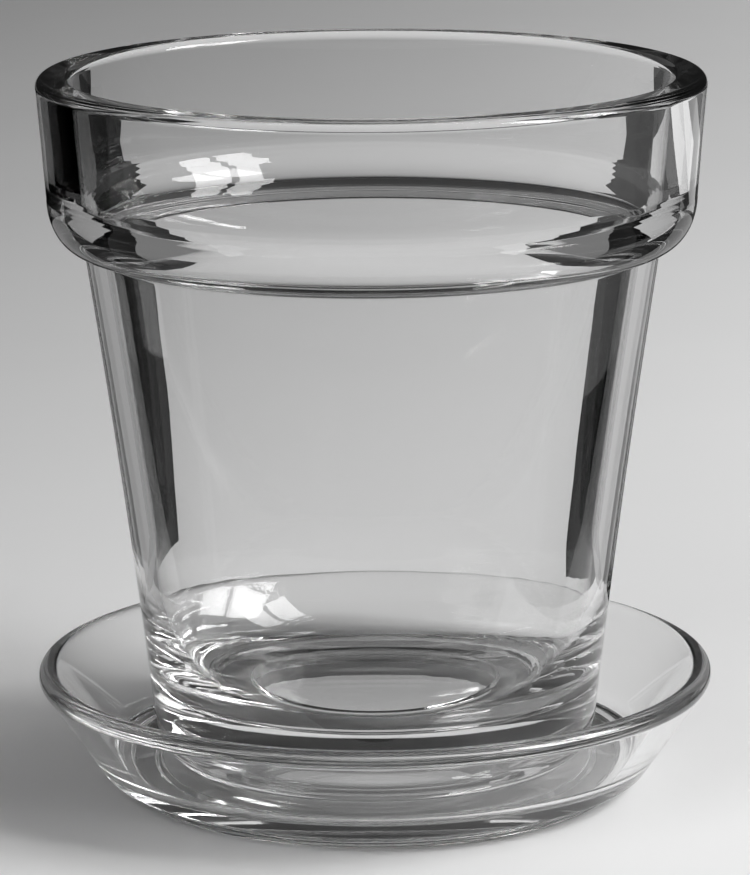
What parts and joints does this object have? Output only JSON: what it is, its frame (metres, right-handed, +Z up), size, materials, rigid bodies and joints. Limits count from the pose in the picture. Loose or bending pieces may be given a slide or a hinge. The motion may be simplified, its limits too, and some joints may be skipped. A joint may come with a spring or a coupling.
{
  "type": "glass flower pot with saucer",
  "caption": "Tapered clear glass flower pot with a deep stepped collar and a heavy base, standing loose in a flared glass saucer.",
  "frame": {"origin": "centre of the saucer's foot ring, on the surface that it stands on", "axes": "+Z up along the common axis of pot and saucer; X and Y are free, because both pieces are turned"},
  "size_m": [0.1542, 0.1542, 0.1632],
  "materials": {
    "pot_crystal": "polished",
    "saucer_crystal": "polished"
  },
  "bodies": {
    "saucer": {"saucer": "saucer_crystal"},
    "pot": {"pot": "pot_crystal"}
  },
  "joints": [
    {"name": "pot_lift", "type": "slide", "parent": "saucer", "child": "pot", "axis": [0, 0, 1], "range_m": [0, 0.08]}
  ]
}
